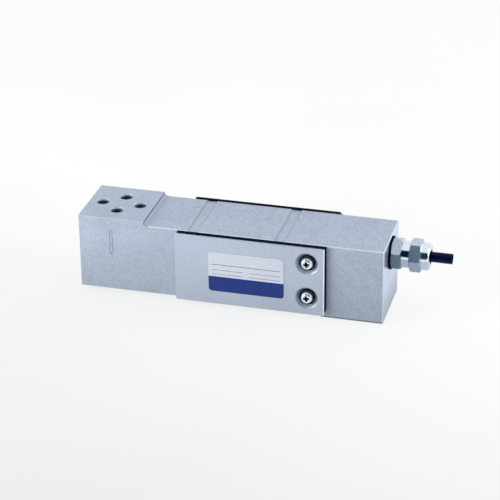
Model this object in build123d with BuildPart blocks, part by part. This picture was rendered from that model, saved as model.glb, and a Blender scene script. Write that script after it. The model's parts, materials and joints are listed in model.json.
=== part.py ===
"""A single-point weighing load cell.

A machined steel bar carries the load on a raised pad at its free end. A raised pad under its fixed end is
bolted down. Four thin places round a cavity bend under load, and a strain gauge is bonded in each. A sheet
cover on a black seal closes each side. The cable leaves through a gland in the fixed end's face.

Millimetres. The origin is the middle of the four mounting holes, on the face of the fixed end's pad. X runs
along the bar towards the cable, Y across its width to the back, Z up.
"""

import os
from math import sqrt

from build123d import *

os.makedirs("parts", exist_ok=True)

# Bar
bar_length = 150.0
bar_width = 35.0
bar_depth = 36.0  # between the long top and bottom faces
pad_rise = 2.0  # how far each pad stands out of its face
load_pad_length = 33.0
fixed_pad_length = 30.0
pad_corner_radius = 2.5  # of the hollow corner at the foot of each pad
edge_break = 0.4
hole_spacing_x = 19.0  # the four holes of each pad form a diamond
hole_spacing_y = 15.0
hole_radius = 3.0
hole_depth = 12.0
hole_mouth_radius = 3.4
pattern_inset = 16.5  # from each end face to the middle of its holes

# Thin places, grooves and cavity
flexure_inset = 50.0  # from the fixed end's face to the nearer pair of thin places
flexure_spacing = 42.5
flexure_thickness = 1.8
groove_depth = 0.45
groove_floor = 3.8
groove_mouth = 5.4
lobe_radius = 5.0  # of the round ends that leave the bar thin
cavity_depth = 20.0
cavity_overhang = 4.0  # how far the cavity runs past the middle of the thin places

# Load arrow engraved under the loading holes
arrow_top = 33.5
arrow_shaft_length = 9.2
arrow_head_length = 4.0
arrow_shaft_width = 1.5
arrow_head_width = 3.2
arrow_line = 0.3
arrow_depth = 0.15

# Side covers and their seals
cover_length = 73.0
cover_height = 35.2
cover_thickness = 1.0
cover_corner = 0.6
cover_edge_round = 0.3  # the sheet's sheared outer edge
cover_inset = 27.8  # from the fixed end's face to the cover's edge
cover_drop = 0.7  # from the bar's top face to the cover's edge
gasket_thickness = 1.8
gasket_drops = (0.25, -0.2)  # from the bar's top face to the front and the rear seal's edge
gasket_setback = 1.0  # inside one end of the cover
gasket_overhang = 0.4  # past the cover's other end
gasket_foot = 2.0  # above the cover's lower edge

# Cover screws in their dished seats
screw_inset = 8.4  # from the cover's edge
screw_pitch = 18.0
seat_rim_radius = 5.5
seat_floor_radius = 4.2
seat_rim_round = 0.5
dish_clearance = 0.3
screw_radius = 1.5
screw_clearance = 0.2
thread_play = 0.05
screw_engagement = 6.0
screw_hole_spare = 1.0
head_radius = 2.7
head_edge = 1.3
head_height = 2.0
recess_length = 3.2
recess_width = 1.0
recess_depth = 1.2
recess_turn = 8.0
washer_radius = 3.5
washer_thickness = 0.5
seal_washer_radius = 4.0
seal_washer_thickness = 0.5

# Label
label_length = 36.8
label_height = 20.7
label_thickness = 0.2
label_corner = 1.6
label_inset = 16.6  # from the cover's free edge
label_foot = 7.0  # above the cover's lower edge

# Cable gland
gland_height = 29.5
seal_ring_thickness = 0.8
seal_ring_radius = 8.0
gland_hex = 14.0
gland_hex_length = 5.0
gland_hex_turn = 39.4  # of the body's corners about its axis
hex_corner_loss = 1.1  # what the end chamfers take off the corners
hex_chamfer = 0.6
gland_thread_radius = 6.0
gland_thread_length = 7.0
gland_thread_spare = 1.5
collar_radius = 6.5
collar_length = 3.4
neck_radius = 5.6
neck_length = 5.3
nut_gap = 0.2
nut_hex_length = 5.7
dome_radius = 6.65
dome_length = 3.9
dome_round = 1.6
mouth_radius = 3.45
gland_play = 0.1
claw_wall = 0.8
claw_cone_length = 1.3
insert_wall = 1.4
insert_recess = 0.4
insert_nose_wall = 0.85
gland_floor = 2.0  # depth of the body's shoulder behind the collar's front face

# Cable
cable_radius = 2.5
cable_free_length = 10.2
cable_bore_radius = 3.25
jacket_wall = 0.75
jacket_lip = 0.4  # how far the jacket's cut end stands past what it holds
jacket_stop = 2.5  # from the jacket's inner end to the cavity
shield_wall = 0.15
core_radius = 0.58
conductor_radius = 0.28
core_offset = 0.6  # of each core from the cable's axis, both ways
core_fall = 5.5  # of the cores inside the cavity, before they turn down to the board
core_bends = (6.0, 5.0)  # radii of a core's two turns
strip_length = 1.5
drain_radius = 0.2

# Terminal board and what is on it
board_length = 26.0
board_width = 14.0
board_thickness = 1.2
board_pad_length = 20.0
board_pad_width = 10.0
board_pad_thickness = 0.8
resistor_length = 3.2
resistor_width = 1.6
resistor_height = 0.8
resistor_spacing = 6.0
land_inset = 2.0  # of the lead joints from the board's ends
core_land_near = 4.5  # of the lower cores' joints from the board's end
core_land_inner = 0.8  # of the lower cores' joints from the board's middle line
core_land_far = 8.0  # the same two for the upper cores
core_land_outer = 2.4
drain_land = 9.6  # of the drain wire's joint from the board's end

# Gauges, coats and leads
glue_line = 0.05
gauge_thickness = 0.2
gauge_length = 4.4
gauge_width = 8.0
coat_thickness = 1.3
coat_length = 6.4
coat_width = 12.0
lead_radius = 0.4
lead_side = 4.0  # of the leads from the middle of the bar's width
lead_rise = 4.0  # of the upper leads' run above the board
lead_step = 1.4  # of the lower leads' run below the upper one
lead_bend = 1.5

# Places worked out from the sizes
bar_right = pattern_inset
bar_left = bar_right - bar_length
bar_low = pad_rise
bar_high = bar_low + bar_depth
bar_middle = (bar_low + bar_high) / 2
bar_top = bar_high + pad_rise
load_centre = bar_left + pattern_inset
load_pad_edge = bar_left + load_pad_length
fixed_pad_edge = bar_right - fixed_pad_length
pad_corner_run = sqrt(pad_corner_radius**2 - (pad_corner_radius - pad_rise) ** 2)
side_y = bar_width / 2

flexure_right = bar_right - flexure_inset
flexure_left = flexure_right - flexure_spacing
flexure_middle = (flexure_left + flexure_right) / 2
lobe_height = bar_depth / 2 - groove_depth - flexure_thickness - lobe_radius
cavity_length = flexure_spacing + 2 * cavity_overhang
cavity_floor = bar_middle - cavity_depth / 2

cover_right = bar_right - cover_inset
cover_left = cover_right - cover_length
cover_top = bar_high - cover_drop
cover_bottom = cover_top - cover_height
cover_y = side_y + gasket_thickness + cover_thickness
screw_x = cover_right - screw_inset
seat_depth = gasket_thickness
washer_y = side_y + cover_thickness + seal_washer_thickness
head_y = washer_y + washer_thickness

collar_start = seal_ring_thickness + gland_hex_length
collar_end = collar_start + collar_length
shoulder = collar_end - gland_floor
neck_end = collar_end + neck_length
nut_start = collar_end + nut_gap
dome_start = nut_start + nut_hex_length
dome_end = dome_start + dome_length
insert_radius = cable_radius + insert_wall
claw_radius = insert_radius + claw_wall
nose_radius = cable_radius + insert_nose_wall
cable_end_x = bar_right + dome_end + cable_free_length
core_end_x = cable_end_x - jacket_lip
cavity_right = flexure_right + lobe_radius
jacket_start = cavity_right + jacket_stop

board_x = flexure_middle
board_bottom = cavity_floor + board_pad_thickness
board_top = board_bottom + board_thickness
board_left = board_x - board_length / 2
board_right = board_x + board_length / 2

gland_axis = Axis((bar_right, 0, gland_height), (1, 0, 0))


def outward_plane(side, distance, x=0.0, z=0.0):
    """Plane parallel to one side of the bar, facing away from it."""
    return Plane(origin=(x, side * distance, z), x_dir=(1, 0, 0), z_dir=(0, side, 0))


def turning_plane(side, distance, x, z):
    """Plane to draw half of a round section on: across is X, up is away from the bar's side."""
    return Plane(origin=(x, side * distance, z), x_dir=(1, 0, 0), z_dir=(0, 0, side))


def gland_plane(along):
    """Plane across the gland's axis, at a distance from the end face."""
    return Plane(origin=(bar_right + along, 0, gland_height), x_dir=(0, 1, 0), z_dir=(1, 0, 0))


gland_section = Plane(origin=(bar_right, 0, gland_height), x_dir=(1, 0, 0), z_dir=(0, -1, 0))


# Beam: the bar with its pads, cavity, grooves and holes
with BuildPart() as beam:
    with BuildSketch(Plane.XZ):
        with BuildLine():
            Polyline(
                (load_pad_edge, bar_top),
                (bar_left, bar_top),
                (bar_left, bar_low),
                (fixed_pad_edge - pad_corner_run, bar_low),
            )
            TangentArc(
                (fixed_pad_edge - pad_corner_run, bar_low), (fixed_pad_edge, 0), tangent=(1, 0)
            )
            Polyline(
                (fixed_pad_edge, 0),
                (bar_right, 0),
                (bar_right, bar_high),
                (load_pad_edge + pad_corner_run, bar_high),
            )
            TangentArc(
                (load_pad_edge + pad_corner_run, bar_high), (load_pad_edge, bar_top), tangent=(-1, 0)
            )
        make_face()
    extrude(amount=side_y, both=True)

    side_faces = beam.faces().filter_by(Axis.Y)
    end_faces = beam.faces().filter_by(Axis.X)
    chamfer(side_faces.edges() + end_faces.edges().filter_by(Axis.Y), edge_break)

    with BuildSketch(Plane.XZ):
        with Locations((flexure_middle, bar_middle)):
            Rectangle(cavity_length, cavity_depth)
            with GridLocations(flexure_spacing, 2 * lobe_height, 2, 2):
                Circle(lobe_radius)
    extrude(amount=bar_width, both=True, mode=Mode.SUBTRACT)

    for groove_x in (flexure_left, flexure_right):
        for face_z, inward in ((bar_high, -1), (bar_low, 1)):
            with BuildSketch(Plane.XZ):
                with BuildLine():
                    Polyline(
                        (groove_x - groove_mouth / 2, face_z),
                        (groove_x + groove_mouth / 2, face_z),
                        (groove_x + groove_floor / 2, face_z + inward * groove_depth),
                        (groove_x - groove_floor / 2, face_z + inward * groove_depth),
                        close=True,
                    )
                make_face()
            extrude(amount=bar_width, both=True, mode=Mode.SUBTRACT)

    load_face = Plane(origin=(load_centre, 0, bar_top))
    fixed_face = Plane(origin=(0, 0, 0), z_dir=(0, 0, -1))
    along = hole_spacing_x / 2
    across = hole_spacing_y / 2
    for pad_face in (load_face, fixed_face):
        with Locations(pad_face):
            with Locations((-along, 0), (along, 0), (0, -across), (0, across)):
                CounterSinkHole(hole_radius, hole_mouth_radius, hole_depth)

    for side in (-1, 1):
        with BuildSketch(outward_plane(side, side_y, screw_x, bar_middle)):
            with GridLocations(0, screw_pitch, 1, 2):
                Circle(screw_radius)
        extrude(amount=-(screw_engagement + screw_hole_spare), mode=Mode.SUBTRACT)

    with BuildSketch(gland_plane(0)):
        Circle(gland_thread_radius)
    extrude(amount=-(gland_thread_length + gland_thread_spare), mode=Mode.SUBTRACT)
    with BuildSketch(gland_plane(0)):
        Circle(cable_bore_radius)
    extrude(amount=-(bar_right - flexure_right), mode=Mode.SUBTRACT)

    with BuildSketch(outward_plane(-1, side_y, load_centre, arrow_top)):
        with BuildLine():
            Polyline(
                (-arrow_shaft_width / 2, 0),
                (arrow_shaft_width / 2, 0),
                (arrow_shaft_width / 2, -arrow_shaft_length),
                (arrow_head_width / 2, -arrow_shaft_length),
                (0, -arrow_shaft_length - arrow_head_length),
                (-arrow_head_width / 2, -arrow_shaft_length),
                (-arrow_shaft_width / 2, -arrow_shaft_length),
                close=True,
            )
        make_face()
        offset(amount=-arrow_line, kind=Kind.INTERSECTION, mode=Mode.SUBTRACT)
    extrude(amount=-arrow_depth, mode=Mode.SUBTRACT)
beam.part.label = "beam"
export_step(beam.part, "parts/beam.step")


# Side covers: the front one, and the same pressed sheet turned to the back
with BuildPart() as front_cover:
    cover_centre_x = (cover_left + cover_right) / 2
    cover_centre_z = (cover_top + cover_bottom) / 2
    with BuildSketch(outward_plane(-1, cover_y, cover_centre_x, cover_centre_z)):
        RectangleRounded(cover_length, cover_height, cover_corner)
    extrude(amount=-cover_thickness)
    for screw_z in (bar_middle - screw_pitch / 2, bar_middle + screw_pitch / 2):
        seat_axis = Axis((screw_x, -side_y, screw_z), (0, 1, 0))
        back_floor = seat_floor_radius + cover_thickness / 2
        back_rim = seat_rim_radius + cover_thickness / 2
        with BuildSketch(turning_plane(-1, side_y, screw_x, screw_z)):
            Polygon((0, 0), (back_floor, 0), (back_rim, seat_depth), (0, seat_depth), align=None)
        revolve(axis=seat_axis)
        with BuildSketch(turning_plane(-1, side_y + cover_thickness, screw_x, screw_z)):
            Polygon(
                (0, 0), (seat_floor_radius, 0), (seat_rim_radius, seat_depth), (0, seat_depth), align=None
            )
        revolve(axis=seat_axis, mode=Mode.SUBTRACT)
    with BuildSketch(outward_plane(-1, side_y, screw_x, bar_middle)):
        with GridLocations(0, screw_pitch, 1, 2):
            Circle(screw_radius + screw_clearance)
    extrude(amount=cover_thickness, mode=Mode.SUBTRACT)
    outer_face = front_cover.faces().sort_by(Axis.Y)[0]
    fillet(outer_face.edges().filter_by(GeomType.CIRCLE).group_by(SortBy.RADIUS)[-1], seat_rim_round)
    fillet(front_cover.faces().sort_by(Axis.Y)[0].outer_wire().edges(), cover_edge_round)
front_cover.part.label = "front_cover"
export_step(front_cover.part, "parts/front_cover.step")

with BuildPart() as rear_cover:
    mirror(front_cover.part, about=Plane.XZ)
rear_cover.part.label = "rear_cover"
export_step(rear_cover.part, "parts/rear_cover.step")


# Sealing sheets, open round the cavity and round the dished seats. Both are cut alike, and each sits a little
# to the right of its cover as seen from its own side of the bar.
gasket_bottom = cover_bottom + gasket_foot
for gasket_name, side, gasket_drop, left_step, right_step in (
    ("front_gasket", -1, gasket_drops[0], gasket_setback, gasket_overhang),
    ("rear_gasket", 1, gasket_drops[1], -gasket_overhang, -gasket_setback),
):
    gasket_left = cover_left + left_step
    gasket_right = cover_right + right_step
    gasket_top = bar_high - gasket_drop
    with BuildPart() as gasket:
        with BuildSketch(
            outward_plane(side, side_y, (gasket_left + gasket_right) / 2, (gasket_bottom + gasket_top) / 2)
        ):
            Rectangle(gasket_right - gasket_left, gasket_top - gasket_bottom)
        extrude(amount=gasket_thickness)
        with BuildSketch(outward_plane(side, side_y, flexure_middle, bar_middle)):
            Rectangle(cavity_length, cavity_depth)
        extrude(amount=gasket_thickness, mode=Mode.SUBTRACT)
        with BuildSketch(outward_plane(side, side_y, screw_x, bar_middle)):
            with GridLocations(0, screw_pitch, 1, 2):
                Circle(seat_rim_radius + cover_thickness / 2 + dish_clearance)
        extrude(amount=gasket_thickness, mode=Mode.SUBTRACT)
    gasket.part.label = gasket_name
    export_step(gasket.part, f"parts/{gasket_name}.step")


# Cover screws, each on a plain washer and a sealing washer
screw_places = [
    (side, bar_middle + level * screw_pitch / 2) for side in (-1, 1) for level in (1, -1)
]
for number, (side, screw_z) in enumerate(screw_places, start=1):
    with BuildPart() as screw:
        with BuildSketch(turning_plane(side, head_y, screw_x, screw_z)):
            with BuildLine():
                Polyline((0, head_height), (0, 0), (head_radius, 0), (head_radius, head_edge))
                TangentArc((0, head_height), (head_radius, head_edge), tangent=(1, 0))
            make_face()
        revolve(axis=Axis((screw_x, 0, screw_z), (0, 1, 0)))
        with BuildSketch(outward_plane(side, side_y - screw_engagement, screw_x, screw_z)):
            Circle(screw_radius - thread_play)
        extrude(amount=head_y - side_y + screw_engagement)
        with BuildSketch(outward_plane(side, head_y + head_height, screw_x, screw_z)):
            Rectangle(recess_length, recess_width, rotation=recess_turn)
            Rectangle(recess_width, recess_length, rotation=recess_turn)
        extrude(amount=-recess_depth, mode=Mode.SUBTRACT)
    screw.part.label = f"cover_screw_{number}"
    export_step(screw.part, f"parts/cover_screw_{number}.step")

    with BuildPart() as washer:
        with BuildSketch(outward_plane(side, washer_y, screw_x, screw_z)):
            Circle(washer_radius)
            Circle(screw_radius + screw_clearance, mode=Mode.SUBTRACT)
        extrude(amount=washer_thickness)
    washer.part.label = f"cover_washer_{number}"
    export_step(washer.part, f"parts/cover_washer_{number}.step")

    with BuildPart() as seal_washer:
        with BuildSketch(outward_plane(side, side_y + cover_thickness, screw_x, screw_z)):
            Circle(seal_washer_radius)
            Circle(screw_radius + screw_clearance, mode=Mode.SUBTRACT)
        extrude(amount=seal_washer_thickness)
    seal_washer.part.label = f"seal_washer_{number}"
    export_step(seal_washer.part, f"parts/seal_washer_{number}.step")


# Label on the front cover
with BuildPart() as label:
    label_x = cover_left + label_inset + label_length / 2
    label_z = cover_bottom + label_foot + label_height / 2
    with BuildSketch(outward_plane(-1, cover_y, label_x, label_z)):
        RectangleRounded(label_length, label_height, label_corner)
    extrude(amount=label_thickness)
label.part.label = "label"
export_step(label.part, "parts/label.step")


# Cable gland: seal ring, body, rubber insert, claw ring and dome nut
with BuildPart() as gland_seal_ring:
    with BuildSketch(gland_plane(0)):
        Circle(seal_ring_radius)
        Circle(gland_thread_radius, mode=Mode.SUBTRACT)
    extrude(amount=seal_ring_thickness)
gland_seal_ring.part.label = "gland_seal_ring"
export_step(gland_seal_ring.part, "parts/gland_seal_ring.step")

corner_radius = gland_hex / sqrt(3)
trimmed_radius = corner_radius - hex_corner_loss

with BuildPart() as gland_body:
    with BuildSketch(gland_plane(seal_ring_thickness)):
        RegularPolygon(gland_hex / 2, 6, major_radius=False, rotation=gland_hex_turn)
    extrude(amount=gland_hex_length)
    with BuildSketch(gland_section):
        Polygon(
            (seal_ring_thickness, 0),
            (seal_ring_thickness, trimmed_radius),
            (seal_ring_thickness + hex_chamfer, corner_radius),
            (collar_start - hex_chamfer, corner_radius),
            (collar_start, trimmed_radius),
            (collar_start, 0),
            align=None,
        )
    revolve(axis=gland_axis, mode=Mode.INTERSECT)
    with BuildSketch(gland_section):
        Polygon(
            (-gland_thread_length, 0),
            (-gland_thread_length, gland_thread_radius - thread_play),
            (seal_ring_thickness, gland_thread_radius - thread_play),
            (seal_ring_thickness, collar_radius),
            (collar_end, collar_radius),
            (collar_end, neck_radius),
            (neck_end, neck_radius),
            (neck_end, 0),
            align=None,
        )
    revolve(axis=gland_axis)
    with BuildSketch(gland_section):
        Polygon(
            (-gland_thread_length, 0),
            (-gland_thread_length, cable_radius + 2 * gland_play),
            (shoulder, cable_radius + 2 * gland_play),
            (shoulder, claw_radius + gland_play / 2),
            (neck_end, claw_radius + gland_play / 2),
            (neck_end, 0),
            align=None,
        )
    revolve(axis=gland_axis, mode=Mode.SUBTRACT)
gland_body.part.label = "gland_body"
export_step(gland_body.part, "parts/gland_body.step")

claw_front = neck_end + gland_play
with BuildPart() as gland_insert:
    with BuildSketch(gland_section):
        Polygon(
            (shoulder, cable_radius),
            (shoulder, insert_radius),
            (claw_front, insert_radius),
            (claw_front + claw_cone_length, nose_radius),
            (dome_end - insert_recess, nose_radius),
            (dome_end - insert_recess, cable_radius),
            align=None,
        )
    revolve(axis=gland_axis)
gland_insert.part.label = "gland_insert"
export_step(gland_insert.part, "parts/gland_insert.step")

with BuildPart() as gland_claw:
    with BuildSketch(gland_section):
        Polygon(
            (shoulder, insert_radius),
            (shoulder, claw_radius),
            (claw_front, claw_radius),
            (claw_front + claw_cone_length, nose_radius + gland_play),
            (claw_front + claw_cone_length, nose_radius),
            (claw_front, insert_radius),
            align=None,
        )
    revolve(axis=gland_axis)
gland_claw.part.label = "gland_claw"
export_step(gland_claw.part, "parts/gland_claw.step")

with BuildPart() as gland_nut:
    with BuildSketch(gland_plane(nut_start)):
        RegularPolygon(gland_hex / 2, 6, major_radius=False)
    extrude(amount=nut_hex_length)
    with BuildSketch(gland_section):
        Polygon(
            (nut_start, 0),
            (nut_start, trimmed_radius),
            (nut_start + hex_chamfer, corner_radius),
            (dome_start - hex_chamfer, corner_radius),
            (dome_start, trimmed_radius),
            (dome_start, 0),
            align=None,
        )
    revolve(axis=gland_axis, mode=Mode.INTERSECT)
    with BuildSketch(gland_plane(dome_start)):
        Circle(dome_radius)
    extrude(amount=dome_length)
    fillet(gland_nut.faces().sort_by(Axis.X)[-1].edges(), dome_round)
    with BuildSketch(gland_section):
        Polygon(
            (nut_start, 0),
            (nut_start, neck_radius + thread_play),
            (neck_end + nut_gap, neck_radius + thread_play),
            (neck_end + nut_gap, claw_radius + gland_play),
            (claw_front + gland_play, claw_radius + gland_play),
            (claw_front + gland_play + claw_cone_length, nose_radius + 2 * gland_play),
            (claw_front + gland_play + claw_cone_length, mouth_radius),
            (dome_end, mouth_radius),
            (dome_end, 0),
            align=None,
        )
    revolve(axis=gland_axis, mode=Mode.SUBTRACT)
gland_nut.part.label = "gland_nut"
export_step(gland_nut.part, "parts/gland_nut.step")


# Cable: jacket, shield, four cores with their conductors, and the bare drain wire
shield_radius = cable_radius - jacket_wall
for tube_name, outer, inner, end_x in (
    ("cable_jacket", cable_radius, shield_radius, cable_end_x),
    ("cable_shield", shield_radius, shield_radius - shield_wall, core_end_x),
):
    with BuildPart() as tube:
        with BuildSketch(gland_plane(end_x - bar_right)):
            Circle(outer)
            Circle(inner, mode=Mode.SUBTRACT)
        extrude(amount=-(end_x - jacket_start))
    tube.part.label = tube_name
    export_step(tube.part, f"parts/{tube_name}.step")

# Each core runs straight through the cable, leaves it inside the bar and turns down to the board.
core_exit = jacket_start - jacket_stop
core_routes = []
for across, above, from_end, from_middle in (
    (-1, -1, core_land_near, core_land_inner),
    (1, -1, core_land_near, core_land_inner),
    (-1, 1, core_land_far, core_land_outer),
    (1, 1, core_land_far, core_land_outer),
):
    land_x = board_right - from_end
    land_y = across * from_middle
    core_y = across * core_offset
    core_z = gland_height + above * core_offset
    core_routes.append(
        (
            (core_end_x, core_y, core_z),
            (core_exit, core_y, core_z),
            (land_x, land_y, core_z - core_fall),
            (land_x, land_y, board_top),
        )
    )


def shorten(route, amount):
    """The same route, stopped short of its last point."""
    last, before = Vector(*route[-1]), Vector(*route[-2])
    end = last + (before - last).normalized() * amount
    return (*route[:-1], (end.X, end.Y, end.Z))


for number, route in enumerate(core_routes, start=1):
    with BuildPart() as core:
        with BuildLine() as core_path:
            FilletPolyline(*shorten(route, strip_length), radius=core_bends)
        with BuildSketch(Plane(origin=route[0], x_dir=(0, 1, 0), z_dir=(-1, 0, 0))):
            Circle(core_radius)
            Circle(conductor_radius, mode=Mode.SUBTRACT)
        sweep(path=core_path.line)
    core.part.label = f"cable_core_{number}"
    export_step(core.part, f"parts/cable_core_{number}.step")

    with BuildPart() as conductor:
        with BuildLine() as conductor_path:
            FilletPolyline(*route, radius=core_bends)
        with BuildSketch(Plane(origin=route[0], x_dir=(0, 1, 0), z_dir=(-1, 0, 0))):
            Circle(conductor_radius)
        sweep(path=conductor_path.line)
    conductor.part.label = f"cable_conductor_{number}"
    export_step(conductor.part, f"parts/cable_conductor_{number}.step")

drain_x = board_right - drain_land
with BuildPart() as drain_wire:
    with BuildLine() as drain_path:
        FilletPolyline(
            (core_end_x, 0, gland_height),
            (core_exit, 0, gland_height),
            (drain_x, 0, gland_height - core_fall),
            (drain_x, 0, board_top),
            radius=core_bends,
        )
    with BuildSketch(Plane(origin=(core_end_x, 0, gland_height), x_dir=(0, 1, 0), z_dir=(-1, 0, 0))):
        Circle(drain_radius)
    sweep(path=drain_path.line)
drain_wire.part.label = "drain_wire"
export_step(drain_wire.part, "parts/drain_wire.step")


# Terminal board on its adhesive pad, with the trimming resistors
with BuildPart() as board_pad:
    with BuildSketch(Plane.XY.offset(cavity_floor)):
        with Locations((board_x, 0)):
            Rectangle(board_pad_length, board_pad_width)
    extrude(amount=board_pad_thickness)
board_pad.part.label = "board_pad"
export_step(board_pad.part, "parts/board_pad.step")

with BuildPart() as terminal_board:
    with BuildSketch(Plane.XY.offset(board_bottom)):
        with Locations((board_x, 0)):
            Rectangle(board_length, board_width)
    extrude(amount=board_thickness)
terminal_board.part.label = "terminal_board"
export_step(terminal_board.part, "parts/terminal_board.step")

for number, across in ((1, -1), (2, 1)):
    with BuildPart() as trim_resistor:
        with BuildSketch(Plane.XY.offset(board_top)):
            with Locations((board_left + board_length / 4, across * resistor_spacing / 2)):
                Rectangle(resistor_length, resistor_width)
        extrude(amount=resistor_height)
    trim_resistor.part.label = f"trim_resistor_{number}"
    export_step(trim_resistor.part, f"parts/trim_resistor_{number}.step")


# Strain gauges in the round ends of the cavity, each under its coat, with its lead to the board
bond_radius = lobe_radius - glue_line
coat_inside = bond_radius - coat_thickness
lead_seat = sqrt(coat_inside**2 - lead_radius**2)  # where a lead's square end meets the hollow of its coat
gauge_places = [(x, level) for x in (flexure_left, flexure_right) for level in (1, -1)]
for number, (gauge_x, level) in enumerate(gauge_places, start=1):
    lobe_z = bar_middle + level * lobe_height
    crest = (gauge_x, lobe_z + level * lobe_radius)

    with BuildPart() as strain_gauge:
        with BuildSketch(Plane.XZ):
            with Locations((gauge_x, lobe_z)):
                Circle(bond_radius)
                Circle(bond_radius - gauge_thickness, mode=Mode.SUBTRACT)
            with Locations(crest):
                Rectangle(gauge_length, lobe_radius, mode=Mode.INTERSECT)
        extrude(amount=gauge_width / 2, both=True)
    strain_gauge.part.label = f"strain_gauge_{number}"
    export_step(strain_gauge.part, f"parts/strain_gauge_{number}.step")

    with BuildPart() as gauge_coat:
        with BuildSketch(Plane.XZ):
            with Locations((gauge_x, lobe_z)):
                Circle(bond_radius)
                Circle(coat_inside, mode=Mode.SUBTRACT)
            with Locations(crest):
                Rectangle(coat_length, lobe_radius, mode=Mode.INTERSECT)
        extrude(amount=coat_width / 2, both=True)
        add(strain_gauge.part, mode=Mode.SUBTRACT)
    gauge_coat.part.label = f"gauge_coat_{number}"
    export_step(gauge_coat.part, f"parts/gauge_coat_{number}.step")

    towards_board = 1 if gauge_x < board_x else -1
    land_x = board_x - towards_board * (board_length / 2 - land_inset)
    lead_y = level * lead_side
    run_z = board_top + lead_rise - (0 if level > 0 else lead_step)
    lead_start = (gauge_x, lead_y, lobe_z + level * lead_seat)
    with BuildPart() as gauge_lead:
        with BuildLine() as lead_path:
            FilletPolyline(
                lead_start,
                (gauge_x, lead_y, run_z),
                (land_x, lead_y, run_z),
                (land_x, lead_y, board_top),
                radius=lead_bend,
            )
        with BuildSketch(Plane(origin=lead_start, x_dir=(1, 0, 0), z_dir=(0, 0, -level))):
            Circle(lead_radius)
        sweep(path=lead_path.line)
    gauge_lead.part.label = f"gauge_lead_{number}"
    export_step(gauge_lead.part, f"parts/gauge_lead_{number}.step")
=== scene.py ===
"""The looks of a single-point weighing load cell, in metres, built round its solids and in their frame."""

import json
from math import pi, radians

import bpy
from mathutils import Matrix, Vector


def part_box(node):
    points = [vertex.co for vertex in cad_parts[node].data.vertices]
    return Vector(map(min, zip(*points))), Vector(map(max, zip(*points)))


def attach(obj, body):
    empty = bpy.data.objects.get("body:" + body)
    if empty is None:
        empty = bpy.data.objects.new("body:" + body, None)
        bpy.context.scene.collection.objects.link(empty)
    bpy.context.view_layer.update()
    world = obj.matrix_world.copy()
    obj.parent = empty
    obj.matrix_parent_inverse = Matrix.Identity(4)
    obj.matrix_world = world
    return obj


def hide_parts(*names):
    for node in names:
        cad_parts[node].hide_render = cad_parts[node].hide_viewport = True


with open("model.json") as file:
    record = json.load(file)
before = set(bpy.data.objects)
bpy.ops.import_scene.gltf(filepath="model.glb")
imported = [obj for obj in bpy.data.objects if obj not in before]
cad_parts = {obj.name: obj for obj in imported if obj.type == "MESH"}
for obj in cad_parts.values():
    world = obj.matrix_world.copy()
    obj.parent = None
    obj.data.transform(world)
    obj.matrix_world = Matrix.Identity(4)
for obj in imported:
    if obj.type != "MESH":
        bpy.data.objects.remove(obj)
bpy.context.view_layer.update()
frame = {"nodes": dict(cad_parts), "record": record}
bpy.ops.object.select_all(action="DESELECT")
mm = 0.001


# The bar
# One block of alloy steel, milled to shape and ground on its long faces. The grinding leaves a fine speckle
# with faint streaks across the bar, a little duller here and there where it has been handled.
noise_span = (0.3, 0.7)  # where most of a noise's values lie
fine_detail = 4
broad_detail = 3
gloss_swing = 0.1  # how far the roughness swings each way, as a share
bevel_facing = (0.84, 0.74)  # the largest part of a normal where bevels begin and are full
most = 1.1  # above any part of a normal


def feed(owner, value, socket):
    """Links another socket's value into a socket, or sets the socket to a number or a colour."""
    if isinstance(value, bpy.types.NodeSocket):
        owner.node_tree.links.new(value, socket)
    else:
        socket.default_value = value


def parts_of(owner, vector):
    """The X, Y and Z of a vector."""
    split = owner.node_tree.nodes.new("ShaderNodeSeparateXYZ")
    feed(owner, vector, split.inputs["Vector"])
    return split.outputs


def on_vectors(owner, operation, *vectors):
    """The result of an operation on vectors, which is a number for a length or a dot product."""
    node = owner.node_tree.nodes.new("ShaderNodeVectorMath")
    node.operation = operation
    for vector, socket in zip(vectors, node.inputs):
        feed(owner, vector, socket)
    return node.outputs["Value" if operation in ("LENGTH", "DOT_PRODUCT") else "Vector"]


def on_numbers(owner, operation, *numbers):
    """The result of an operation on numbers."""
    node = owner.node_tree.nodes.new("ShaderNodeMath")
    node.operation = operation
    for number, socket in zip(numbers, node.inputs):
        feed(owner, number, socket)
    return node.outputs["Value"]


def change(owner, value, start, end, before=0, after=1, soft=False):
    """A change from one number to another while a value runs from start to end."""
    node = owner.node_tree.nodes.new("ShaderNodeMapRange")
    node.interpolation_type = "SMOOTHSTEP" if soft else "LINEAR"
    feed(owner, value, node.inputs["Value"])
    feed(owner, start, node.inputs["From Min"])
    feed(owner, end, node.inputs["From Max"])
    feed(owner, before, node.inputs["To Min"])
    feed(owner, after, node.inputs["To Max"])
    return node.outputs["Result"]


def grain_on(finish, grain, detail, stretch):
    """A noise fixed to the piece, with spots about one grain wide."""
    nodes = finish.node_tree.nodes
    scaled = nodes.new("ShaderNodeMapping")
    noise = nodes.new("ShaderNodeTexNoise")
    feed(finish, stretch, scaled.inputs["Scale"])
    feed(finish, 1 / grain, noise.inputs["Scale"])
    feed(finish, detail, noise.inputs["Detail"])
    feed(finish, nodes["place"].outputs["Object"], scaled.inputs["Vector"])
    feed(finish, scaled.outputs["Vector"], noise.inputs["Vector"])
    return noise


def tones_of(finish, noise, dark, light):
    """A colour that follows a noise from dark to light."""
    tones = finish.node_tree.nodes.new("ShaderNodeValToRGB")
    for stop, position, colour in zip(tones.color_ramp.elements, noise_span, (dark, light)):
        stop.position = position
        stop.color = (*colour, 1)
    feed(finish, noise.outputs[0], tones.inputs["Fac"])
    return tones.outputs["Color"]


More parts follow.
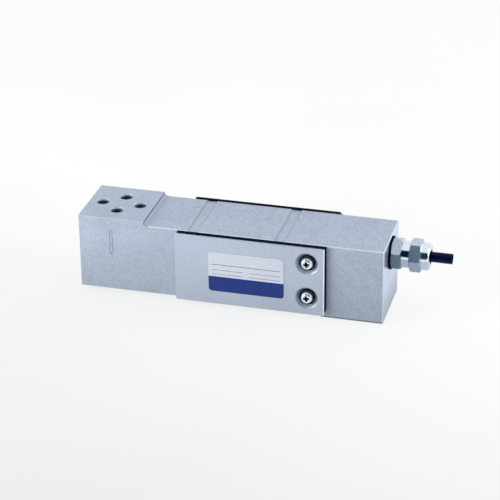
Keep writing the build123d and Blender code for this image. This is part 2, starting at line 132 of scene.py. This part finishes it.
def finish_of(name, dark, light, metal, roughness, grain, stretch=(1, 1, 1), relief=0.0):
    """A finish whose colour, roughness and relief follow one noise fixed to the piece."""
    finish = bpy.data.materials.new(name)
    finish.use_nodes = True
    nodes = finish.node_tree.nodes
    nodes.new("ShaderNodeTexCoord").name = "place"
    noise = grain_on(finish, grain, fine_detail, stretch)
    noise.name = "grain"
    rough, smooth = roughness * (1 + gloss_swing), roughness * (1 - gloss_swing)
    shader = nodes["Principled BSDF"].inputs
    feed(finish, tones_of(finish, noise, dark, light), shader["Base Color"])
    feed(finish, metal, shader["Metallic"])
    feed(finish, change(finish, noise.outputs[0], *noise_span, rough, smooth), shader["Roughness"])
    if relief:
        bump = nodes.new("ShaderNodeBump")
        feed(finish, relief, bump.inputs["Distance"])
        feed(finish, noise.outputs[0], bump.inputs["Height"])
        feed(finish, bump.outputs["Normal"], shader["Normal"])
    return finish


def multiply(finish, by, mask=1):
    """Multiplies the finish's colour by a tint or another socket's value, where the mask is 1."""
    colour = finish.node_tree.nodes["Principled BSDF"].inputs["Base Color"]
    product = finish.node_tree.nodes.new("ShaderNodeMix")
    product.data_type = "RGBA"
    product.blend_type = "MULTIPLY"
    feed(finish, mask, product.inputs["Factor"])
    feed(finish, colour.links[0].from_socket, product.inputs["A"])
    feed(finish, by, product.inputs["B"])
    feed(finish, product.outputs["Result"], colour)


def shade_over(finish, dark, light, grain, stretch=(1, 1, 1)):
    """Multiplies the finish's colour by a second, broader noise."""
    noise = grain_on(finish, grain, broad_detail, stretch)
    multiply(finish, tones_of(finish, noise, (dark, dark, dark), (light, light, light)))


def blend_in(finish, mask, name, value):
    """Gives one of the shader's inputs a number, a colour or another socket's value where the mask is 1."""
    target = finish.node_tree.nodes["Principled BSDF"].inputs[name]
    blend = finish.node_tree.nodes.new("ShaderNodeMix")
    blend.data_type = "RGBA" if name == "Base Color" else "FLOAT"
    feed(finish, mask, blend.inputs["Factor"])
    feed(finish, target.links[0].from_socket if target.links else target.default_value, blend.inputs["A"])
    feed(finish, value, blend.inputs["B"])
    feed(finish, blend.outputs["Result"], target)


def within(finish, *bands, signed=False):
    """1 where every band holds. A band is two limits for one part of the place or of the normal.

    The limits are for the part's size, or when signed, for the part itself.
    """
    inside = None
    for output, part, low, high in bands:
        vector = finish.node_tree.nodes["place"].outputs[output]
        if not signed:
            vector = on_vectors(finish, "ABSOLUTE", vector)
        value = parts_of(finish, vector)[part]
        for operation, limit in (("GREATER_THAN", low), ("LESS_THAN", high)):
            test = on_numbers(finish, operation, value, limit)
            inside = on_numbers(finish, "MULTIPLY", inside, test) if inside else test
    return inside


def tint_within(finish, tint, *bands, signed=False):
    """Multiplies the finish's colour by a tint where every band holds."""
    multiply(finish, (*tint, 1), within(finish, *bands, signed=signed))


def fade_to_foot(finish, keep, low, high, mask=1):
    """Paints shade: dims the finish's colour smoothly from a height down to the foot, where the mask is 1."""
    height = parts_of(finish, finish.node_tree.nodes["place"].outputs["Object"])["Z"]
    multiply(finish, change(finish, height, low, high, before=keep), mask)


def paint_bevel_highlight(finish, bright, roughness):
    """Paints a highlight on the narrow bevels, whose normals lie between the main faces."""
    facing = on_vectors(finish, "ABSOLUTE", finish.node_tree.nodes["place"].outputs["Normal"])
    x, y, z = parts_of(finish, facing)
    largest = on_numbers(finish, "MAXIMUM", on_numbers(finish, "MAXIMUM", x, y), z)
    bevel = change(finish, largest, *bevel_facing)
    blend_in(finish, bevel, "Base Color", (*bright, 1))
    blend_in(finish, bevel, "Roughness", roughness)


def dress(finish, *names):
    """Gives the finish to whole solids."""
    for name in names:
        for place in frame["nodes"][name].material_slots:
            place.material = finish


bar_low, bar_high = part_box("beam")
load_pad_length = 33.0 * mm
fixed_pad_length = 30.0 * mm
pad_corner_radius = 2.5 * mm
brow_width = 0.3 * mm
edge_break = 0.5 * mm
foot_line = 0.9 * mm
end_skin = 0.1 * mm
engraving_deep = bar_high.y - 0.20 * mm
engraving_shallow = bar_high.y - 0.04 * mm
load_edge = -bar_low.x - load_pad_length
fixed_edge = fixed_pad_length - bar_high.x
shaded_foot = (4 * mm, 30 * mm)
ground_steel = finish_of(
    "ground_steel", (0.33, 0.395, 0.485), (0.46, 0.525, 0.62), 0.55, 0.5, 0.8 * mm, relief=0.006 * mm
)
shade_over(ground_steel, 0.95, 1.05, 2.5 * mm, stretch=(1, 0.6, 1))
shade_over(ground_steel, 0.94, 1.05, 18 * mm)

groove_shade = (0.82, 0.82, 0.82)
engraving_shade = (0.78, 0.78, 0.78)
bevel_shade = (0.74, 0.75, 0.76)
foot_shade = (0.40, 0.43, 0.46)
brow_shade = (0.45, 0.48, 0.52)
painted_top_light = (1.05, 1.05, 1.07)
groove_wall = ("Normal", "X", 0.35, 0.6)
near_level = ("Normal", "Z", 0.8, most)
level = ("Normal", "Z", 0.98, most)
bevel = ("Normal", "Z", 0.3, 0.95)
# Painted shade on the sloped walls of the shallow grooves in the top face.
tint_within(ground_steel, groove_shade, groove_wall, near_level)
tint_within(ground_steel, engraving_shade, ("Object", "Y", engraving_deep, engraving_shallow))
# Painted highlight along the bar's bevelled edges.
paint_bevel_highlight(ground_steel, (0.72, 0.77, 0.86), 0.35)
# Painted shade dims the painted bevel highlight along the load pad's edges.
pad_edges = ("Object", "X", load_edge, -bar_low.x - edge_break)
tint_within(ground_steel, bevel_shade, pad_edges, bevel)
# Painted shadow: a dark line along the bar's foot, where it meets the table.
tint_within(ground_steel, foot_shade, ("Object", "Z", -foot_line, foot_line))
for edge, out in ((load_edge, -1), (fixed_edge, 1)):
    corner = sorted((edge, edge + out * pad_corner_radius))
    brow = sorted((edge, edge + out * brow_width))
    hollow = within(ground_steel, ("Object", "X", *corner), ("Normal", "X", 0.05, most))
    blend_in(ground_steel, hollow, "Base Color", (0.38, 0.445, 0.54, 1))
    blend_in(ground_steel, hollow, "Roughness", 0.5)
    # Painted shade in a thin line along the steep part of each pad's step.
    tint_within(ground_steel, brow_shade, ("Object", "X", *brow), ("Normal", "X", 0.3, most))
# Painted light: the level faces, top and bottom, made lighter.
tint_within(ground_steel, painted_top_light, level)
# The end face by the cable gets a glossier finish and a lighter, bluer colour; the colour is painted light.
last_skin = ("Object", "X", bar_high.x - end_skin, 1)
cable_end = within(ground_steel, last_skin, ("Normal", "X", 0.9, most), signed=True)
blend_in(ground_steel, cable_end, "Base Color", (0.54, 0.65, 0.82, 1))
blend_in(ground_steel, cable_end, "Metallic", 0.9)
blend_in(ground_steel, cable_end, "Roughness", 0.3)
# Painted shade: the bar darker towards its foot.
fade_to_foot(ground_steel, 0.80, *shaded_foot)
# Painted shade: the end face darker still towards its foot.
fade_to_foot(ground_steel, 0.58, 0, 16 * mm, cable_end)
dress(ground_steel, "beam")


# Threads of the eight mounting holes
# Each hole is tapped for a 6 mm screw with a pitch of 1 mm. The ridge winds down the wall of the hole and is
# cut bright and sharp by the tap. It is painted dark as the shade in the hole, with painted light near the
# mouth.
thread_pitch = 1.0 * mm
thread_root = 3.02 * mm
thread_crest = 2.52 * mm
ridge_foot = 0.9 * mm
ridge_top = 0.16 * mm
thread_turns = 10
thread_steps = 36
thread_start = 0.6 * mm
lit_depth = 0.9 * mm
mouth_light = (3.2, 3.3, 3.2)
# Painted shade: the thread's steel is dark, as the inside of the hole lies in shade.
shaded_thread_steel = finish_of("shaded_thread_steel", (0.05, 0.06, 0.08), (0.10, 0.12, 0.15), 1.0, 0.42, 0.4 * mm)
# Painted light on the thread near each hole's mouth, where light reaches in.
for face in (0, bar_high.z):
    mouth = ("Object", "Z", face - lit_depth, face + lit_depth)
    tint_within(shaded_thread_steel, mouth_light, mouth, signed=True)
bpy.ops.mesh.primitive_plane_add(size=ridge_foot, rotation=(pi / 2, 0, 0))
thread = bpy.context.object
bpy.ops.object.transform_apply(location=False, rotation=True, scale=False)
bpy.ops.object.mode_set(mode="EDIT")
bpy.ops.mesh.delete(type="ONLY_FACE")
bpy.ops.object.mode_set(mode="OBJECT")
for corner in thread.data.vertices:
    inner = corner.co.x < 0
    corner.co.z = (ridge_top if inner else ridge_foot) / 2 * (1 if corner.co.z > 0 else -1)
    corner.co.x = thread_crest if inner else thread_root
wind = thread.modifiers.new("wind", "SCREW")
wind.screw_offset = -thread_pitch
wind.iterations = thread_turns
wind.steps = thread_steps
wind.render_steps = thread_steps
bpy.ops.object.modifier_apply(modifier=wind.name)
bpy.ops.object.mode_set(mode="EDIT")
bpy.ops.mesh.select_all(action="SELECT")
bpy.ops.mesh.fill_holes(sides=4)
bpy.ops.mesh.select_all(action="SELECT")
bpy.ops.mesh.normals_make_consistent(inside=False)
bpy.ops.transform.translate(value=(0, 0, -thread_start))
bpy.ops.object.mode_set(mode="OBJECT")
bpy.ops.object.shade_smooth_by_angle(angle=radians(35))
thread.data.materials.append(shaded_thread_steel)


def copy_of(model, name):
    """A copy of the model with all its points selected, ready to be moved in edit mode."""
    bpy.ops.object.select_all(action="DESELECT")
    model.select_set(True)
    bpy.context.view_layer.objects.active = model
    bpy.ops.object.duplicate()
    bpy.context.object.name = name
    bpy.ops.object.mode_set(mode="EDIT")
    bpy.ops.mesh.select_all(action="SELECT")
    return bpy.context.object


mounts = {mount["name"]: mount for mount in frame["record"]["mounts"]}
for pad in ("load", "fixed"):
    middle = mounts[f"{pad}_holes_along"]["pos_m"]
    along = mounts[f"{pad}_holes_along"]["dims"]["spacing_x_mm"] * mm / 2
    across = mounts[f"{pad}_holes_across"]["dims"]["spacing_y_mm"] * mm / 2
    for number, (x, y) in enumerate(((-along, 0), (along, 0), (0, -across), (0, across)), start=1):
        ridge = copy_of(thread, f"{pad}_thread_{number}")
        if pad == "fixed":
            bpy.ops.transform.rotate(value=pi, orient_axis="X", center_override=(0, 0, 0))
        bpy.ops.transform.translate(value=(middle[0] + x, middle[1] + y, middle[2]))
        bpy.ops.object.mode_set(mode="OBJECT")
        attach(ridge, "root")
bpy.data.objects.remove(thread)


# Seals of the side covers
# A sheet of black rubber between each cover and the bar, cut open round the cavity and the screw seats.
seal_rubber = finish_of(
    "seal_rubber", (0.0004, 0.001, 0.009), (0.001, 0.002, 0.014), 0.0, 0.6, 0.6 * mm, relief=0.01 * mm
)
sheen = seal_rubber.node_tree.nodes["Principled BSDF"].inputs
sheen["Specular IOR Level"].default_value = 0.03
sheen["Specular Tint"].default_value = (0.2, 0.3, 1.0, 1)
dress(seal_rubber, "front_gasket", "rear_gasket")


# Side covers
# Pressed from 1 mm steel sheet with two dished screw seats each, then brushed lengthwise to a soft satin.
# The sheared edge towards the cable has a painted highlight.
cover_steel = finish_of(
    "cover_steel", (0.43, 0.495, 0.60), (0.49, 0.555, 0.66), 0.6, 0.42, 0.7 * mm, stretch=(0.3, 1, 1),
    relief=0.002 * mm,
)
shade_over(cover_steel, 0.96, 1.03, 25 * mm)
# Painted shade: the cover darker towards its foot.
fade_to_foot(cover_steel, 0.84, *shaded_foot)
cover_end = -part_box("front_cover")[1].x
cover_edge = 0.45 * mm
edge_light = (2.1, 1.98, 1.8)
sheared_edge = ("Object", "X", cover_end - cover_edge, cover_end + cover_edge)
# Painted highlight along the cover's sheared edge.
tint_within(cover_steel, edge_light, sheared_edge, ("Normal", "Y", 0.2, most))
dress(cover_steel, "front_cover", "rear_cover")


# Cover screws and washers
# Zinc-plated pan-head screws with a cross recess, each on a plain washer over a black sealing washer. The
# washer's faces are painted dark as shade in the seat. The recess tapers inwards and is painted dark as the
# shade inside it.
head_radius = 2.7 * mm
head_height = 2.0 * mm
head_round = 0.95 * mm
recess_reach = 1.75 * mm
recess_width = 1.4 * mm
recess_depth = 1.2 * mm
recess_taper = 0.65
recess_turn = radians(8)
shank_radius = 1.45 * mm
hair = 0.01 * mm  # a spare for telling places apart
washer_shade = (0.02, 0.03, 0.06)
bright_steel = finish_of("bright_steel", (0.68, 0.73, 0.80), (0.82, 0.87, 0.94), 1.0, 0.22, 0.8 * mm)
# Painted shade: the faces of the cross recess are near black, as shade inside the recess.
painted_recess_shade = finish_of("painted_recess_shade", (0.002, 0.003, 0.010), (0.006, 0.007, 0.016), 0.0, 0.7, 0.3 * mm)
painted_recess_shade.node_tree.nodes["Principled BSDF"].inputs["Specular IOR Level"].default_value = 0.1
skirt_steel = finish_of("skirt_steel", (0.62, 0.66, 0.72), (0.74, 0.78, 0.84), 0.2, 0.4, 0.8 * mm)
washer_steel = finish_of("washer_steel", (0.60, 0.62, 0.66), (0.74, 0.76, 0.80), 1.0, 0.4, 0.4 * mm)
# Painted shade: the washer's flat faces are made dark, as they lie in shade in the seat.
tint_within(washer_steel, washer_shade, ("Normal", "Y", 0.8, most))
numbers = (1, 2, 3, 4)
dress(washer_steel, *(f"cover_washer_{n}" for n in numbers))
dress(seal_rubber, *(f"seal_washer_{n}" for n in numbers))

screw_low, screw_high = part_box("cover_screw_1")
shank_length = screw_high.y - screw_low.y - head_height
head_top = head_height / 2
bpy.ops.mesh.primitive_cylinder_add(vertices=64, radius=head_radius, depth=head_height)
screw = bpy.context.object
bpy.ops.object.mode_set(mode="EDIT")
bpy.ops.mesh.select_all(action="DESELECT")
bpy.ops.object.mode_set(mode="OBJECT")
for face in screw.data.polygons:
    face.select = face.normal.z < -0.5
bpy.ops.object.mode_set(mode="EDIT")
bpy.ops.mesh.inset(thickness=head_radius - shank_radius)
bpy.ops.mesh.extrude_region_move(TRANSFORM_OT_translate={"value": (0, 0, -shank_length)})
bpy.ops.mesh.select_all(action="DESELECT")
bpy.ops.mesh.select_mode(type="EDGE")
bpy.ops.object.mode_set(mode="OBJECT")
for edge in screw.data.edges:
    edge.select = all(screw.data.vertices[v].co.z > head_top - hair for v in edge.vertices)
bpy.ops.object.mode_set(mode="EDIT")
bpy.ops.mesh.bevel(offset=head_round, segments=6, profile=0.5)
bpy.ops.object.mode_set(mode="OBJECT")
for finish in (bright_steel, painted_recess_shade, skirt_steel):
    screw.data.materials.append(finish)

for arm in (0, pi / 2):
    bpy.ops.object.select_all(action="DESELECT")
    bpy.ops.mesh.primitive_cube_add(
        size=1,
        location=(0, 0, head_top),
        scale=(2 * recess_reach, recess_width, 2 * recess_depth),
        rotation=(0, 0, recess_turn + arm),
    )
    cutter = bpy.context.object
    bpy.ops.object.transform_apply(location=True, rotation=True, scale=True)
    for corner in cutter.data.vertices:
        if corner.co.z < head_top:
            corner.co.x *= recess_taper
            corner.co.y *= recess_taper
    cut = screw.modifiers.new("recess", "BOOLEAN")
    cut.object = cutter
    cut.solver = "EXACT"
    bpy.context.view_layer.objects.active = screw
    bpy.ops.object.modifier_apply(modifier=cut.name)
    bpy.data.objects.remove(cutter)
for face in screw.data.polygons:
    x, y, z = face.center
    from_axis = (x * x + y * y) ** 0.5
    if from_axis < recess_reach and -head_top < z < head_top - 2 * hair:
        face.material_index = 1
    elif from_axis > head_radius - 5 * hair and abs(face.normal.z) < 0.2:
        face.material_index = 2
bpy.ops.object.select_all(action="DESELECT")
screw.select_set(True)
bpy.ops.object.shade_smooth_by_angle(angle=radians(30))

for number in numbers:
    low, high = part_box(f"cover_screw_{number}")
    side = -1 if low.y < 0 else 1
    face_y = low.y if side < 0 else high.y
    centre = ((low.x + high.x) / 2, face_y - side * head_top, (low.z + high.z) / 2)
    copy = copy_of(screw, f"cross_head_screw_{number}")
    bpy.ops.transform.rotate(value=side * pi / 2, orient_axis="X", center_override=(0, 0, 0))
    bpy.ops.transform.translate(value=centre)
    bpy.ops.object.mode_set(mode="OBJECT")
    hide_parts(f"cover_screw_{number}")
    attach(copy, "root")
bpy.data.objects.remove(screw)


# Label
# A foil label stuck on the front cover: a pale field with a rule and four empty writing lines, and a plain
# blue band below it.
label_low, label_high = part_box("label")
label_corner = 1.6 * mm
band_height = 7.9 * mm
rule_drop = 6.6 * mm
rule_inset = 1.6 * mm
rule_width = 0.28 * mm
line_drops = (9.4 * mm, 11.6 * mm)
line_width = 0.2 * mm
line_gap = 1.6 * mm
label_white = finish_of("label_white", (0.51, 0.56, 0.64), (0.56, 0.605, 0.68), 0.0, 0.35, 1.5 * mm)
label_blue = finish_of("label_blue", (0.010, 0.030, 0.165), (0.014, 0.038, 0.19), 0.0, 0.4, 1.5 * mm)
label_blue.node_tree.nodes["Principled BSDF"].inputs["Specular IOR Level"].default_value = 0.15
label_ink = finish_of("label_ink", (0.03, 0.04, 0.07), (0.05, 0.06, 0.09), 0.0, 0.4, 1.5 * mm)
size = label_high - label_low
middle = (label_low + label_high) / 2
bpy.ops.object.select_all(action="DESELECT")
bpy.ops.mesh.primitive_cube_add(size=1, location=middle, scale=size)
plate = bpy.context.object
plate.name = "label_plate"
bpy.ops.object.transform_apply(location=True, rotation=True, scale=True)
bpy.ops.object.mode_set(mode="EDIT")
bpy.ops.mesh.select_all(action="DESELECT")
bpy.ops.mesh.select_mode(type="EDGE")
bpy.ops.object.mode_set(mode="OBJECT")
for edge in plate.data.edges:
    a, b = (plate.data.vertices[v].co for v in edge.vertices)
    edge.select = abs(a.y - b.y) > size.y / 2
bpy.ops.object.mode_set(mode="EDIT")
bpy.ops.mesh.bevel(offset=label_corner, segments=8)
band_top = label_low.z + band_height
rule_foot = label_high.z - rule_drop
line_feet = [label_high.z - drop for drop in line_drops]
heights = [band_top, rule_foot, rule_foot + rule_width]
for foot in line_feet:
    heights += [foot, foot + line_width]
for height in heights:
    bpy.ops.mesh.select_all(action="SELECT")
    bpy.ops.mesh.bisect(plane_co=(middle.x, middle.y, height), plane_no=(0, 0, 1))
rule_ends = (label_low.x + rule_inset, label_high.x - rule_inset)
for side in (rule_ends[0], middle.x - line_gap, middle.x + line_gap, rule_ends[1]):
    bpy.ops.mesh.select_all(action="SELECT")
    bpy.ops.mesh.bisect(plane_co=(side, middle.y, middle.z), plane_no=(1, 0, 0))
bpy.ops.object.mode_set(mode="OBJECT")
for finish in (label_white, label_blue, label_ink):
    plate.data.materials.append(finish)
for face in plate.data.polygons:
    height = face.center.z
    ruled = rule_ends[0] < face.center.x < rule_ends[1]
    if height < band_top:
        face.material_index = 1
    elif ruled and rule_foot < height < rule_foot + rule_width:
        face.material_index = 2
    for foot in line_feet:
        if ruled and foot < height < foot + line_width and abs(face.center.x - middle.x) > line_gap:
            face.material_index = 2
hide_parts("label")
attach(plate, "root")


# Cable gland
# Nickel-plated brass: a hexagon body with a round collar and a dome nut, on a black flat ring. The flats are
# duller than the turned parts. A rubber sleeve in a plastic claw ring grips the cable inside.
nickel = finish_of("nickel", (0.74, 0.79, 0.87), (0.84, 0.88, 0.95), 1.0, 0.13, 0.9 * mm, relief=0.001 * mm)
claw_plastic = finish_of("claw_plastic", (0.03, 0.03, 0.035), (0.05, 0.05, 0.055), 0.0, 0.5, 0.5 * mm)
hex_dark = (0.374, 0.44, 0.54)
hex_light = (0.544, 0.62, 0.73)
hex_roughness = 0.34
hex_across = 14 * mm
hex_corner_loss = 1.1 * mm
hex_chamfer = 0.6 * mm
chamfer_spare = 0.05 * mm
trimmed_radius = hex_across / 3 ** 0.5 - hex_corner_loss
gland_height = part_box("gland_nut")[0].z / 2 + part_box("gland_nut")[1].z / 2


def flats_between(name, start, end):
    """The turned finish, with the duller one of the hexagon's flats up to the bright chamfer at their end."""
    both = nickel.copy()
    both.name = name
    nodes = both.node_tree.nodes
    dull = tones_of(both, nodes["grain"], hex_dark, hex_light)
    from_tip = on_vectors(both, "SUBTRACT", nodes["place"].outputs["Object"], (end, 0, gland_height))
    radius = on_vectors(both, "LENGTH", on_vectors(both, "MULTIPLY", from_tip, (0, 1, 1)))
    slope = hex_corner_loss / hex_chamfer
    cone = on_numbers(both, "MULTIPLY_ADD", parts_of(both, from_tip)["X"], slope, radius)
    flat = on_numbers(both, "LESS_THAN", cone, trimmed_radius - chamfer_spare)
    flats = on_numbers(both, "MULTIPLY", within(both, ("Object", "X", start, end)), flat)
    blend_in(both, flats, "Base Color", dull)
    blend_in(both, flats, "Roughness", hex_roughness)
    return both


body_hex_length = 5.0 * mm
collar_length = 3.4 * mm
nut_hex_length = 5.7 * mm
joint_line = 0.4 * mm
body_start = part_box("gland_seal_ring")[1].x
body_end = body_start + body_hex_length
collar_end = body_end + collar_length
nut_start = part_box("gland_nut")[0].x
nut_end = nut_start + nut_hex_length
body_flats = ("Object", "X", body_start, body_end)
nut_flats = ("Object", "X", nut_start, nut_end)
collar = ("Object", "X", body_end, collar_end)
facing_down = ("Normal", "Z", -most, 0.05)
facing_front = ("Normal", "Z", 0.24, 0.66)
lower_flat = ("Normal", "Z", 0.0, 0.45)
front_flat = ("Normal", "Z", 0.2, 0.8)
foot_flat = ("Normal", "Z", -0.8, -0.2)
round_wall = ("Normal", "X", 0, 0.5)
underside_shade = (0.60, 0.68, 0.74)
lower_flat_shade = (0.289, 0.369, 0.368)
collar_foot_shade = (0.75, 0.80, 0.80)
painted_collar_reflection = (0.22, 0.36, 0.58)
painted_nut_front_reflection = (1.02, 1.40, 1.32)
nut_foot_shade = (0.653, 0.678, 0.707)
nut_top_light = (1.17, 1.17, 1.16)
joint_shade = (0.10, 0.12, 0.16)
# Painted shade on every face of the gland that turns downwards.
tint_within(nickel, underside_shade, facing_down, signed=True)
body_nickel = flats_between("body_nickel", body_start, body_end)
nut_nickel = flats_between("nut_nickel", nut_start, nut_end)
# Painted shade on the body hexagon's flats that face sideways.
tint_within(body_nickel, lower_flat_shade, body_flats, lower_flat)
# Painted shade on the collar's underside.
tint_within(body_nickel, collar_foot_shade, collar, facing_down, signed=True)
# Painted reflection: a dark band round the collar's upper front.
tint_within(body_nickel, painted_collar_reflection, collar, facing_front, signed=True)
# Painted reflection: the nut's upper front flats made greener and lighter.
tint_within(nut_nickel, painted_nut_front_reflection, nut_flats, front_flat, signed=True)
# Painted shade on the nut's lower flats.
tint_within(nut_nickel, nut_foot_shade, nut_flats, foot_flat, signed=True)
# Painted light on the nut's level flats, top and bottom.
tint_within(nut_nickel, nut_top_light, nut_flats, near_level)
# Painted shade: a dark line at each joint between the gland's parts.
for finish, line_start, line_end in (
    (body_nickel, body_end, body_end + joint_line),
    (body_nickel, collar_end - joint_line / 2, collar_end),
    (nut_nickel, nut_end, nut_end + joint_line),
):
    tint_within(finish, joint_shade, ("Object", "X", line_start, line_end), round_wall)
dress(body_nickel, "gland_body")
dress(nut_nickel, "gland_nut")
dress(seal_rubber, "gland_seal_ring", "gland_insert")
dress(claw_plastic, "gland_claw")


# Cable
# A glossy black jacket over a foil shield, four coloured cores of tinned wire and a bare drain wire.
cable_black = finish_of("cable_black", (0.0008, 0.003, 0.020), (0.002, 0.006, 0.030), 0.0, 0.2, 3 * mm)
sheen = cable_black.node_tree.nodes["Principled BSDF"].inputs
sheen["Specular IOR Level"].default_value = 0.2
sheen["Specular Tint"].default_value = (0.2, 0.35, 1.0, 1)
cut_roughness = 0.8
blend_in(cable_black, within(cable_black, ("Normal", "X", 0.8, most)), "Roughness", cut_roughness)
# The foil is painted dark as the shade at the cable's cut end.
shield_foil = finish_of(
    "shield_foil", (0.10, 0.10, 0.11), (0.18, 0.18, 0.19), 1.0, 0.45, 0.4 * mm, relief=0.01 * mm
)
tinned_copper = finish_of("tinned_copper", (0.62, 0.55, 0.46), (0.75, 0.70, 0.62), 1.0, 0.3, 0.3 * mm)
dress(cable_black, "cable_jacket")
dress(shield_foil, "cable_shield")
dress(tinned_copper, "drain_wire", *(f"cable_conductor_{n}" for n in numbers))
core_colours = {
    "red": (0.50, 0.03, 0.02),
    "black": (0.015, 0.015, 0.015),
    "green": (0.03, 0.28, 0.07),
    "white": (0.7, 0.7, 0.66),
}
paler = 1.15
for n, (name, colour) in zip(numbers, core_colours.items()):
    pale = [paler * part for part in colour]
    dress(finish_of(f"core_{name}", colour, pale, 0.0, 0.4, 1.0 * mm), f"cable_core_{n}")


# Inside the cavity
# Foil gauges under silicone coats in the round ends, yellow leads, and a green terminal board on a foam pad
# with two small resistors.
gauge_film = finish_of(
    "gauge_film", (0.42, 0.24, 0.06), (0.55, 0.33, 0.10), 0.0, 0.35, 0.3 * mm, stretch=(8, 1, 1)
)
coat_silicone = finish_of(
    "coat_silicone", (0.62, 0.62, 0.58), (0.72, 0.72, 0.68), 0.0, 0.45, 2 * mm, relief=0.05 * mm
)
lead_sleeve = finish_of("lead_sleeve", (0.58, 0.40, 0.04), (0.68, 0.48, 0.07), 0.0, 0.45, 1 * mm)
pad_foam = finish_of("pad_foam", (0.62, 0.62, 0.58), (0.75, 0.75, 0.70), 0.0, 0.8, 0.3 * mm, relief=0.04 * mm)
board_laminate = finish_of("board_laminate", (0.02, 0.15, 0.05), (0.04, 0.22, 0.08), 0.0, 0.3, 0.8 * mm)
resistor_body = finish_of("resistor_body", (0.02, 0.02, 0.025), (0.04, 0.04, 0.045), 0.0, 0.4, 0.3 * mm)
dress(gauge_film, *(f"strain_gauge_{n}" for n in numbers))
dress(coat_silicone, *(f"gauge_coat_{n}" for n in numbers))
dress(lead_sleeve, *(f"gauge_lead_{n}" for n in numbers))
dress(pad_foam, "board_pad")
dress(board_laminate, "terminal_board")
dress(resistor_body, "trim_resistor_1", "trim_resistor_2")


# Floor
# A plain pale table, lit a little from within so that shadows on it stay faint, and brighter towards the back
# and the right.
floor_reach = 6.0
floor_drop = 0.02 * mm
glow_slope = (0.257, 0.587, 0)
glow_reach = (-0.242, 0.018)
glow = (0.57, 0.83)
floor_paper = finish_of("floor_paper", (0.115, 0.115, 0.115), (0.125, 0.125, 0.125), 0.0, 0.9, 0.2)
table_place = floor_paper.node_tree.nodes["place"].outputs["Object"]
along = on_vectors(floor_paper, "DOT_PRODUCT", table_place, glow_slope)
paper = floor_paper.node_tree.nodes["Principled BSDF"].inputs
paper["Emission Color"].default_value = (1, 1, 1, 1)
feed(floor_paper, change(floor_paper, along, *glow_reach, *glow), paper["Emission Strength"])
bpy.ops.object.select_all(action="DESELECT")
bpy.ops.mesh.primitive_plane_add(size=2 * floor_reach, location=(0, 0, -floor_drop))
floor = bpy.context.object
bpy.ops.object.transform_apply(location=True, rotation=True, scale=True)
floor.name = "floor"
floor.data.materials.append(floor_paper)


# Studio light
# A bright tent all round with a dark gap in front, above the table's edge, a large soft lamp from the left
# and a small one that fills the cable's end.
tent_white = (1.0, 1.0, 1.0, 1)
gap_dark = (0.02, 0.025, 0.06, 1)
tent = bpy.data.worlds.new("tent")
bpy.context.scene.world = tent
tent.use_nodes = True
nodes = tent.node_tree.nodes
x, y, z = parts_of(tent, nodes.new("ShaderNodeTexCoord").outputs["Generated"])
in_front = change(tent, y, -0.25, -0.45, soft=True)
above_table = change(tent, z, -0.12, -0.02, soft=True)
below_lamp = change(tent, z, 0.84, 0.74, soft=True)
gap = on_numbers(tent, "MULTIPLY", on_numbers(tent, "MULTIPLY", in_front, above_table), below_lamp)
cloth = nodes.new("ShaderNodeMix")
cloth.data_type = "RGBA"
feed(tent, gap, cloth.inputs["Factor"])
feed(tent, tent_white, cloth.inputs["A"])
feed(tent, gap_dark, cloth.inputs["B"])
feed(tent, cloth.outputs["Result"], nodes["Background"].inputs["Color"])
nodes["Background"].inputs["Strength"].default_value = 0.95


def soft_lamp(size, watts, location, rotation):
    """A square soft lamp that isn't seen itself."""
    bpy.ops.object.light_add(type="AREA", location=location, rotation=rotation)
    lamp = bpy.context.object
    lamp.data.shape = "RECTANGLE"
    lamp.data.size = size
    lamp.data.size_y = size
    lamp.data.energy = watts
    lamp.visible_camera = False


soft_lamp(0.35, 3.7, location=(-0.50, -0.38, 0.17), rotation=(radians(75.5), 0, radians(-50.6)))
soft_lamp(0.3, 1.4, location=(0.50, 0.08, 0.22), rotation=(0, radians(70), 0))


# Camera
# At the photograph's place, a long lens looking down on the label side from the cable's end.
bpy.ops.object.camera_add(
    location=(0.17022, -0.81726, 0.45468), rotation=(radians(62.957), radians(0.559), radians(14.969))
)
camera = bpy.context.object
camera.data.sensor_width = 36
camera.data.lens = 142.08
camera.data.clip_start = 0.01
bpy.context.scene.camera = camera
bpy.context.scene.view_settings.view_transform = "Standard"
